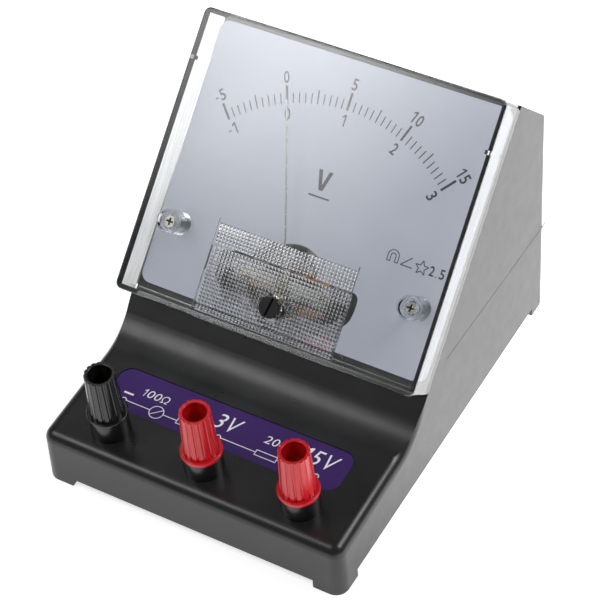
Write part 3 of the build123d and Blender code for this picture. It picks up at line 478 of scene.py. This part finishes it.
WOUND = {"stretch": (0.05, 1, 1), "scale": 3500.0, "depth": 0.00008}
for name, dark, light, rough, more in (
    ("nickel", (0.62, 0.6, 0.56), (0.78, 0.76, 0.72), 0.2, {}),
    ("brass", (0.62, 0.42, 0.16), (0.82, 0.6, 0.28), 0.24, {}),
    ("bronze", (0.5, 0.26, 0.1), (0.68, 0.4, 0.18), 0.25, {}),
    ("dull_brass", (0.4, 0.36, 0.28), (0.52, 0.47, 0.37), 0.35, {}),
    ("tinned", (0.6, 0.59, 0.56), (0.74, 0.73, 0.7), 0.32, {}),
    ("soft_iron", (0.36, 0.36, 0.37), (0.5, 0.5, 0.51), 0.5, {"stretch": (1, 1, 0.1)}),
    ("aluminium", (0.7, 0.7, 0.72), (0.82, 0.82, 0.84), 0.3, {}),
    ("steel", (0.5, 0.5, 0.52), (0.66, 0.66, 0.68), 0.18, {}),
    ("coil_copper", (0.5, 0.16, 0.05), (0.75, 0.3, 0.1), 0.3, WOUND),
    ("needle_metal", (0.5, 0.5, 0.51), (0.62, 0.62, 0.63), 0.25, {}),
):
    LOOKS[name] = metal(name, dark, light, rough, **more)

SCREW_HEAD_TOP = 9.82
LOOKS["clear_styrene"] = clear_plastic("clear_styrene")
LOOKS["nickel_screw_head"] = nickel_with_painted_recess_shade(SCREW_HEAD_TOP)

for look, worn_by in {
    "black_abs": ("case_shell", "base_plate"),
    "black_gloss": ("terminal_collars", "terminal_cap_negative", "zero_adjuster"),
    "red_gloss": ("terminal_cap_3v", "terminal_cap_15v"),
    "dial_paint": ("dial_plate",),
    "label_purple": ("terminal_label",),
    "nickel_screw_head": ("cover_screws",),
    "nickel": ("base_plate_screws", "movement_screws", "terminal_washers", "bridge_nuts", "stop_pins"),
    "brass": ("terminal_studs", "terminal_nuts", "cap_insert_negative", "cap_insert_3v", "cap_insert_15v"),
    "dull_brass": (
        "core_holders", "bridge_pillars", "jewel_screws", "jewel_lock_nut", "zero_lever", "counterweights",
    ),
    "bronze": ("front_hairspring", "rear_hairspring"),
    "tinned": ("solder_lugs", "front_bridge", "rear_bridge", "movement_frame"),
    "soft_iron": ("pole_shoes", "iron_core", "magnet_yoke"),
    "ferrite": ("magnets",),
    "coil_copper": ("coil_winding",),
    "aluminium": ("coil_former",),
    "steel": ("spindle_pivots",),
    "resistor_lacquer": ("series_resistors",),
    "wire_pvc": ("hookup_wires",),
    "tag_board": ("tag_strip",),
}.items():
    paint(worn_by, LOOKS[look])

# ---------------------------------------------------------------- cover with its knurled window
WINDOW_X, WINDOW_HALF = -1.0, 22.8
WINDOW_MARGIN = 0.3
KNURL_PITCH, KNURL_DEPTH = 1.1, 0.42
SLAB_ABOVE, SLAB_BELOW = 0.35, 0.02
# y from, y to and the underside's height, for the window's thick and thin steps
WINDOW_STEPS = ((-16.0, 3.5, 8.4), (4.1, 10.3, 9.6))
HOLE_X, HOLE_Y = 0, -7.7
HOLE_RADIUS, HOLE_LOW, HOLE_HIGH = 2.51, 8.2, 8.8
HOLE_SIDES = 72
PLAIN_RADIUS = 3.9


def knurl_slab(y0, y1, underside):
    """A closed slab whose lower face is a field of small pyramids, plain round the adjuster."""
    x0, x1 = WINDOW_X - WINDOW_HALF + WINDOW_MARGIN, WINDOW_X + WINDOW_HALF - WINDOW_MARGIN
    across = max(1, round((x1 - x0) / KNURL_PITCH))
    along_face = max(1, round((y1 - y0) / KNURL_PITCH))
    dx, dy = (x1 - x0) / across, (y1 - y0) / along_face
    top, low = underside + SLAB_ABOVE, underside - SLAB_BELOW
    verts, faces, index = [], [], {}

    def corner(i, j, level):
        key = (i, j, level)
        if key not in index:
            index[key] = len(verts)
            verts.append(((x0 + i * dx) * MM, (y0 + j * dy) * MM, level * MM))
        return index[key]

    def square(i, j):
        return ((i, j), (i, j + 1), (i + 1, j + 1), (i + 1, j))

    for i in range(across):
        for j in range(along_face):
            quad = [corner(a, b, low) for a, b in square(i, j)]
            middle_x, middle_y = x0 + (i + 0.5) * dx, y0 + (j + 0.5) * dy
            if math.hypot(middle_x - HOLE_X, middle_y - HOLE_Y) < PLAIN_RADIUS:
                faces.append(quad)
            else:
                tip = len(verts)
                verts.append((middle_x * MM, middle_y * MM, (low - KNURL_DEPTH) * MM))
                faces += [[quad[k], quad[(k + 1) % 4], tip] for k in range(4)]
            faces.append([corner(a, b, top) for a, b in ((i, j), (i + 1, j), (i + 1, j + 1), (i, j + 1))])
    # the four edges of the slab, each as a pair of neighbouring grid points
    edges = []
    for i in range(across):
        edges += [((i, 0), (i + 1, 0)), ((i + 1, along_face), (i, along_face))]
    for j in range(along_face):
        edges += [((0, j + 1), (0, j)), ((across, j), (across, j + 1))]
    for (ai, aj), (bi, bj) in edges:
        faces.append([corner(ai, aj, low), corner(bi, bj, low), corner(bi, bj, top), corner(ai, aj, top)])
    return mesh_from("knurl", verts, faces)


def adjuster_opening():
    """The neck's hole, which the slab would otherwise close."""
    turns = (2 * math.pi * k / HOLE_SIDES for k in range(HOLE_SIDES))
    hole = Raised(HOLE_LOW, HOLE_HIGH)
    hole.outline([polar(HOLE_RADIUS, turn, (HOLE_X, HOLE_Y)) for turn in turns])
    return hole.mesh("adjuster_opening")


def combine(target, name, operation, tool):
    change = target.modifiers.new(name, "BOOLEAN")
    change.operation = operation
    change.solver = "EXACT"
    change.object = tool


cover = new_object("cover_with_knurl", nodes["clear_cover"].data.copy(), None)
cover.matrix_world = nodes["clear_cover"].matrix_world
tools = []
for number, step in enumerate(WINDOW_STEPS):
    tools.append(new_object(f"knurl_tool_{number}", knurl_slab(*step), None, FACE))
    combine(cover, "knurl", "UNION", tools[-1])
tools.append(new_object("adjuster_opening", adjuster_opening(), None, FACE))
combine(cover, "opening", "DIFFERENCE", tools[-1])
bpy.context.view_layer.update()
joined = bpy.data.meshes.new_from_object(cover.evaluated_get(bpy.context.evaluated_depsgraph_get()))
cover.modifiers.clear()
cover.data = joined
for poly in joined.polygons:
    poly.use_smooth = False
for tool in tools:
    bpy.data.objects.remove(tool)
give(cover, LOOKS["clear_styrene"])
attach(cover, "instrument")
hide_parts("clear_cover")

# ---------------------------------------------------------------- dial print
DIAL_FACE = 2.0
SCALE_HALF = 41.56
SCALE_STEPS = 40
TICK_INNER = 52.0
# how many steps apart the ticks of a kind are, their outer radius and their width
TICK_KINDS = ((10, 57.2, 0.7), (5, 56.1, 0.38), (1, 55.0, 0.34))
UNIT_TOP, UNIT_FOOT, UNIT_LEFT, UNIT_RIGHT = 33.8, 27.9, -2.5, 2.1
UNIT_STROKE, UNIT_TIP, UNIT_CROTCH = 1.2, 0.65, 1.5
UNDERLINE_LEFT, UNDERLINE_RIGHT, UNDERLINE_Y, UNDERLINE_WIDTH = -3.4, 3.3, 26.0, 0.5
SIGN_FOOT, SIGN_STROKE, SIGN_STEPS = 15.6, 0.26, 20
COIL_SIGN_X, ARCH_OUT, ARCH_IN, ARCH_Y = 27.3, 1.7, 0.75, 17.3
ARCH_DROP, ARCH_FOOT_IN, ARCH_FOOT_OUT = 0.1, 0.62, 1.83
SLANT_X, SLANT_FLAT_END, SLANT_TOP, SLANT_STROKE = 30.0, 33.6, (33.0, 18.4), 0.3
STAR_CENTRE, STAR_OUT, STAR_IN, STAR_STROKE = (36.4, 16.6), 2.15, 0.95, 0.28
STAR_CORNERS = 10


def scale_ticks(marks):
    for step in range(SCALE_STEPS + 1):
        angle = math.radians(-SCALE_HALF + 2 * SCALE_HALF * step / SCALE_STEPS)
        outer, width = next((outer, width) for every, outer, width in TICK_KINDS if step % every == 0)
        ends = [(radius * math.sin(angle), radius * math.cos(angle)) for radius in (TICK_INNER, outer)]
        marks.bar(*ends, width)


def unit_letter(marks):
    """The V and its underline."""
    middle = (UNIT_LEFT + UNIT_RIGHT) / 2
    marks.outline([
        (UNIT_LEFT, UNIT_TOP), (middle - UNIT_TIP, UNIT_FOOT), (middle + UNIT_TIP, UNIT_FOOT),
        (UNIT_RIGHT, UNIT_TOP), (UNIT_RIGHT - UNIT_STROKE, UNIT_TOP), (middle, UNIT_FOOT + UNIT_CROTCH),
        (UNIT_LEFT + UNIT_STROKE, UNIT_TOP),
    ])
    marks.bar((UNDERLINE_LEFT, UNDERLINE_Y), (UNDERLINE_RIGHT, UNDERLINE_Y), UNDERLINE_WIDTH)


def coil_sign(marks):
    """The horseshoe magnet that stands for a moving coil."""
    for radius in (ARCH_OUT, ARCH_IN):
        marks.ring((COIL_SIGN_X, ARCH_Y), radius, SIGN_STROKE, 180, SIGN_STEPS)
        for side in (-1, 1):
            x = COIL_SIGN_X + side * radius
            marks.bar((x, ARCH_Y), (x, SIGN_FOOT - ARCH_DROP), SIGN_STROKE)
    for side in (-1, 1):
        foot = [(COIL_SIGN_X + side * reach, SIGN_FOOT) for reach in (ARCH_FOOT_IN, ARCH_FOOT_OUT)]
        marks.bar(*foot, SIGN_STROKE)


def slant_sign(marks):
    """The corner that stands for a slanted dial."""
    for end in ((SLANT_FLAT_END, SIGN_FOOT), SLANT_TOP):
        marks.bar((SLANT_X, SIGN_FOOT), end, SLANT_STROKE)


def test_star(marks):
    """The star of the insulation test."""
    star = []
    for k in range(STAR_CORNERS):
        turn = math.radians(90 + 360 / STAR_CORNERS * k)
        star.append(polar(STAR_OUT if k % 2 == 0 else STAR_IN, turn, STAR_CENTRE))
    for k in range(STAR_CORNERS):
        marks.bar(star[k], star[(k + 1) % STAR_CORNERS], STAR_STROKE)


dial_raised = Raised(DIAL_FACE, DIAL_FACE + INK)
for draw in (scale_ticks, unit_letter, coil_sign, slant_sign, test_star):
    draw(dial_raised)
dial_marks = new_object("dial_marks", dial_raised.mesh("dial_marks"), "instrument", FACE)
give(dial_marks, LOOKS["black_ink"])

DIGIT_HEIGHT = 3.5
OUTER_NUMBERS, OUTER_NUMBERS_RADIUS = ("-5", "0", "5", "10", "15"), 59.7
INNER_NUMBERS, INNER_NUMBERS_RADIUS = ("-1", "0", "1", "2", "3"), 49.0
CLASS_HEIGHT, CLASS_X, CLASS_Y = 2.9, 41.2, 16.7

rows = []
for texts, radius in ((OUTER_NUMBERS, OUTER_NUMBERS_RADIUS), (INNER_NUMBERS, INNER_NUMBERS_RADIUS)):
    for k, body in enumerate(texts):
        degrees = -SCALE_HALF + 2 * SCALE_HALF * k / (len(texts) - 1)
        angle = math.radians(degrees)
        place = placed(radius * math.sin(angle), radius * math.cos(angle), DIAL_FACE, -degrees)
        rows.append((figures(body, DIGIT_HEIGHT), place))
rows.append((figures("2.5", CLASS_HEIGHT, width=0.52, gap=0.22), placed(CLASS_X, CLASS_Y, DIAL_FACE)))
dial_numbers = new_object("dial_numbers", join_meshes("dial_numbers", rows), "instrument", FACE)
give(dial_numbers, LOOKS["black_ink"])

# ---------------------------------------------------------------- needle
REST = math.radians(18.95)
# distance from the axis, height over the face and radius of the tube, from the hub to the tip
TUBE = (
    (1.4, 3.0, 0.42), (4.4, 3.0, 0.4), (8.2, 6.3, 0.34), (12.0, 6.3, 0.32),
    (30.0, 6.3, 0.3), (50.5, 6.3, 0.28), (52.3, 6.3, 0.2), (53.0, 6.3, 0.06),
)
TUBE_SIDES = 16
HUB_INNER, HUB_OUTER, HUB_LOW, HUB_HIGH = 0.62, 1.5, 2.5, 3.5
HUB_SIDES = 32


def needle_tube(verts, faces):
    """A tube that cranks up from the hub and tapers to its tip."""
    for reach, height, radius in TUBE:
        for k in range(TUBE_SIDES):
            x, z = polar(radius, 2 * math.pi * k / TUBE_SIDES, (0.0, height))
            verts.append((x * MM, reach * MM, z * MM))
    for i in range(len(TUBE) - 1):
        for k in range(TUBE_SIDES):
            a, b = i * TUBE_SIDES + k, i * TUBE_SIDES + (k + 1) % TUBE_SIDES
            faces.append([a, b, b + TUBE_SIDES, a + TUBE_SIDES])
    faces.append(list(range(TUBE_SIDES)))
    faces.append([(len(TUBE) - 1) * TUBE_SIDES + k for k in reversed(range(TUBE_SIDES))])


def needle_hub(verts, faces):
    """A ring of square section round the spindle."""
    start = len(verts)
    section = ((HUB_INNER, HUB_LOW), (HUB_OUTER, HUB_LOW), (HUB_OUTER, HUB_HIGH), (HUB_INNER, HUB_HIGH))
    for k in range(HUB_SIDES):
        for radius, height in section:
            x, y = polar(radius, 2 * math.pi * k / HUB_SIDES)
            verts.append((x * MM, y * MM, height * MM))
    for k in range(HUB_SIDES):
        here, there = start + 4 * k, start + 4 * ((k + 1) % HUB_SIDES)
        for m in range(4):
            n = (m + 1) % 4
            faces.append([here + m, here + n, there + n, there + m])


verts, faces = [], []
needle_tube(verts, faces)
needle_hub(verts, faces)
at_rest = FACE @ Matrix.Rotation(REST, 4, "Z")
needle = new_object("needle", mesh_from("needle", verts, faces), None, at_rest)
for poly in needle.data.polygons:
    poly.use_smooth = True
give(needle, LOOKS["needle_metal"])
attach(needle, "moving_coil")
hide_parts("pointer")

# ---------------------------------------------------------------- label print (places as x and y of the case)
LABEL_RECESS, LABEL_LIFT, LABEL_THICKNESS = 0.5, 0.02, 0.3
LABEL_TOP = -LABEL_RECESS + LABEL_LIFT + LABEL_THICKNESS
LINE = 0.26
WIRE_Y = -44.6
MINUS_LEFT, MINUS_RIGHT, MINUS_Y, MINUS_STROKE = -35.2, -32.0, -42.0, 0.6
POST_MARKS, POST_MARK_RADIUS, POST_MARK_STROKE = (-33.8, -1.8, 30.2), 0.75, 0.3
METER_X, METER_RADIUS = -22.6, 2.2
METER_SLASH = ((-24.2, -46.0), (-21.0, -43.2))
WIRES = ((-33.05, -24.8), (-20.4, -15.6), (-9.0, -2.55), (-1.05, 10.6), (17.4, 29.45))
RESISTORS = ((-15.6, -9.0), (10.6, 17.4))
RESISTOR_LONG_SIDES, RESISTOR_ENDS = (-43.7, -45.5), (-43.55, -45.65)
label_place = deck_frame(0, WIRE_Y)


def on_label(x, y):
    return (x, (y - WIRE_Y) / math.cos(FALL))


def circuit(lines):
    """The drawn circuit: a meter and two resistances between three terminals."""
    lines.bar(on_label(MINUS_LEFT, MINUS_Y), on_label(MINUS_RIGHT, MINUS_Y), MINUS_STROKE)
    for x in POST_MARKS:
        lines.ring(on_label(x, WIRE_Y), POST_MARK_RADIUS, POST_MARK_STROKE, steps=24)
    lines.ring(on_label(METER_X, WIRE_Y), METER_RADIUS, LINE)
    lines.bar(*(on_label(*end) for end in METER_SLASH), LINE)
    for left, right in WIRES:
        lines.bar(on_label(left, WIRE_Y), on_label(right, WIRE_Y), LINE)
    for left, right in RESISTORS:
        for y in RESISTOR_LONG_SIDES:
            lines.bar(on_label(left, y), on_label(right, y), LINE)
        for x in (left, right):
            lines.bar(*(on_label(x, y) for y in RESISTOR_ENDS), LINE)


label_raised = Raised(LABEL_TOP, LABEL_TOP + INK)
circuit(label_raised)
label_lines = new_object("label_lines", label_raised.mesh("label_lines"), "instrument", label_place)
give(label_lines, LOOKS["white_ink"])

OHMS = {"height": 2.75, "width": 0.7, "shear": 0.15, "weight": 0.09}
VOLTS = {"height": 5.4, "width": 0.52, "shear": 0.25, "weight": 0.13}
words = []
for body, x, y, style in (
    ("100Ω", -25.6, -39.6, OHMS),
    ("3V", -1.7, -39.2, VOLTS),
    ("200Ω", 15.7, -39.2, OHMS),
    ("15V", 28.2, -38.9, VOLTS),
):
    words.append((figures(body, bold=-0.004, **style), placed(*on_label(x, y), LABEL_TOP)))
label_words = new_object("label_values", join_meshes("label_values", words), "instrument", label_place)
give(label_words, LOOKS["white_ink"])

# ---------------------------------------------------------------- parting line of the case on both side walls, its groove's shade painted as a dark strip
CASE_HALF, DRAFT = 49.5, math.tan(math.radians(0.75))
PART_BACK, PART_FRONT = (65.0, 32.36), (-0.8, 35.0)
PART_HALF_WIDTH, PART_INTO_WALL, PART_PROUD = 0.16, -0.15, 0.02
BOX_FACES = ((0, 1, 3, 2), (4, 6, 7, 5), (0, 4, 5, 1), (2, 3, 7, 6), (1, 5, 7, 3), (0, 2, 6, 4))


def parting_groove_shade_strips():
    """A thin dark strip on each drafted wall, sunk into it and a hair proud of it: painted shade of the
    parting groove.
    """
    verts, faces = [], []
    for side in (-1, 1):
        start = len(verts)
        for y, z in (PART_BACK, PART_FRONT):
            for edge in (z - PART_HALF_WIDTH, z + PART_HALF_WIDTH):
                for depth in (PART_INTO_WALL, PART_PROUD):
                    x = side * (CASE_HALF - DRAFT * edge + depth)
                    verts.append((x * MM, y * MM, edge * MM))
        for quad in BOX_FACES:
            faces.append([start + k for k in (quad if side > 0 else reversed(quad))])
    return mesh_from("parting_groove_shade", verts, faces)


# painted shade: a rough black ink strip darkens the parting line on the satin walls
groove_shade = new_object("parting_groove_shade", parting_groove_shade_strips(), "instrument")
give(groove_shade, LOOKS["black_ink"])

# ---------------------------------------------------------------- floor
FLOOR_HALF, FLOOR_DROP = 4.0, 0.00005
FLOOR_WHITE, FLOOR_ROUGHNESS = 0.9, 0.9
# painted light: the floor paper glows, more towards the right and back, which the right wall mirrors, and
# lights the case as a lamp would
GLOW_DIRECTION = (1.0, 0.6, 0.0)
GLOW_FROM, GLOW_TO, GLOW_DIM, GLOW_BRIGHT = 0.02, 0.055, 0.7, 1.6


def glowing_floor_paper():
    mat, tree, shader, out = material("glowing_floor_paper")
    shader.inputs["Base Color"].default_value = (FLOOR_WHITE, FLOOR_WHITE, FLOOR_WHITE, 1)
    shader.inputs["Roughness"].default_value = FLOOR_ROUGHNESS
    shader.inputs["Emission Color"].default_value = (1, 1, 1, 1)
    # painted light: emission that whitens the floor and lights the case from below
    place = tree.nodes.new("ShaderNodeNewGeometry").outputs["Position"]
    reach = along(tree, place, GLOW_DIRECTION)
    glow = span(tree, reach, GLOW_FROM, GLOW_TO, GLOW_DIM, GLOW_BRIGHT)
    tree.links.new(glow, shader.inputs["Emission Strength"])
    return mat


floor_mesh = bpy.data.meshes.new("floor")
grid = bmesh.new()
bmesh.ops.create_grid(grid, x_segments=1, y_segments=1, size=FLOOR_HALF)
grid.to_mesh(floor_mesh)
grid.free()
floor = new_object("floor", floor_mesh, None)
floor.location = (0, 0, -FLOOR_DROP)
give(floor, glowing_floor_paper())

# ---------------------------------------------------------------- light
LAMP_AIM = (0, 0, 0.04)
STRIP_PLACE, STRIP_SIZE, STRIP_POWER = (-0.24, -0.06, 0.62), (0.7, 0.05), 0.22
BACK_PLACE, BACK_SIZE, BACK_POWER = (0.55, 0.3, 0.8), (0.4, 0.4), 4.0
# the front-left softbox lies where the clear cover mirrors it towards the viewer
MIRROR_DIRECTION = (-0.39, -0.69, 0.62)
MIRROR_POINT = (0, 0.026, 0.0124)
SOFT_DISTANCE, SOFT_POWER = 0.5, 1.75
SOFT_LEFT, SOFT_RIGHT, SOFT_LOW, SOFT_HIGH = -0.27, 0.07, -0.12, 0.26
# where each edge of the softbox fades in or out, across and up, in shares of its size
SOFT_FADES = (
    (0, (0.0, 0.15, 0.0, 1.0)), (0, (0.62, 1.0, 1.0, 0.0)),
    (1, (0.1, 0.5, 0.0, 1.0)), (1, (0.8, 1.0, 1.0, 0.0)),
)
WORLD_STRENGTH = 0.18


def lamp(name, place, aim, size, power):
    data = bpy.data.lights.new(name, "AREA")
    data.shape = "RECTANGLE"
    data.size, data.size_y = size
    data.energy = power
    obj = bpy.data.objects.new(name, data)
    bpy.context.scene.collection.objects.link(obj)
    obj.location = place
    obj.rotation_euler = (Vector(aim) - Vector(place)).to_track_quat("-Z", "Y").to_euler()
    obj.visible_camera = False
    return obj


def soften_edges(softbox):
    """The lamp's glow is the product of a fade at each of its four edges."""
    softbox.data.use_nodes = True
    tree = softbox.data.node_tree
    tree.nodes.clear()
    out = tree.nodes.new("ShaderNodeOutputLight")
    glow = tree.nodes.new("ShaderNodeEmission")
    split = tree.nodes.new("ShaderNodeSeparateXYZ")
    tree.links.new(tree.nodes.new("ShaderNodeNewGeometry").outputs["Parametric"], split.inputs[0])
    fades = [span(tree, split.outputs[axis], *edge, smooth=True) for axis, edge in SOFT_FADES]
    total = fades[0]
    for fade in fades[1:]:
        times = node(tree, "ShaderNodeMath", operation="MULTIPLY")
        tree.links.new(total, times.inputs[0])
        tree.links.new(fade, times.inputs[1])
        total = times.outputs[0]
    tree.links.new(total, glow.inputs["Strength"])
    tree.links.new(glow.outputs[0], out.inputs[0])


lamp("overhead_strip", STRIP_PLACE, LAMP_AIM, STRIP_SIZE, STRIP_POWER)
lamp("back_softbox", BACK_PLACE, LAMP_AIM, BACK_SIZE, BACK_POWER)

outward = Vector(MIRROR_DIRECTION).normalized()
sidewards = Vector((0, 0, 1)).cross(outward).normalized()
upwards = outward.cross(sidewards)
dial_point = FACE @ Vector(MIRROR_POINT)
middle = sidewards * (SOFT_LEFT + SOFT_RIGHT) / 2 + upwards * (SOFT_LOW + SOFT_HIGH) / 2
centre = dial_point + outward * SOFT_DISTANCE + middle
soft_size = (SOFT_RIGHT - SOFT_LEFT, SOFT_HIGH - SOFT_LOW)
softbox = lamp("front_left_softbox", centre, dial_point, soft_size, SOFT_POWER)
softbox.matrix_world = basis(centre / MM, sidewards, upwards, outward)
soften_edges(softbox)

world = bpy.data.worlds.new("studio")
world.use_nodes = True
background = world.node_tree.nodes["Background"]
background.inputs[0].default_value = (1, 1, 1, 1)
background.inputs[1].default_value = WORLD_STRENGTH
bpy.context.scene.world = world
bpy.context.scene.view_settings.view_transform = "Standard"
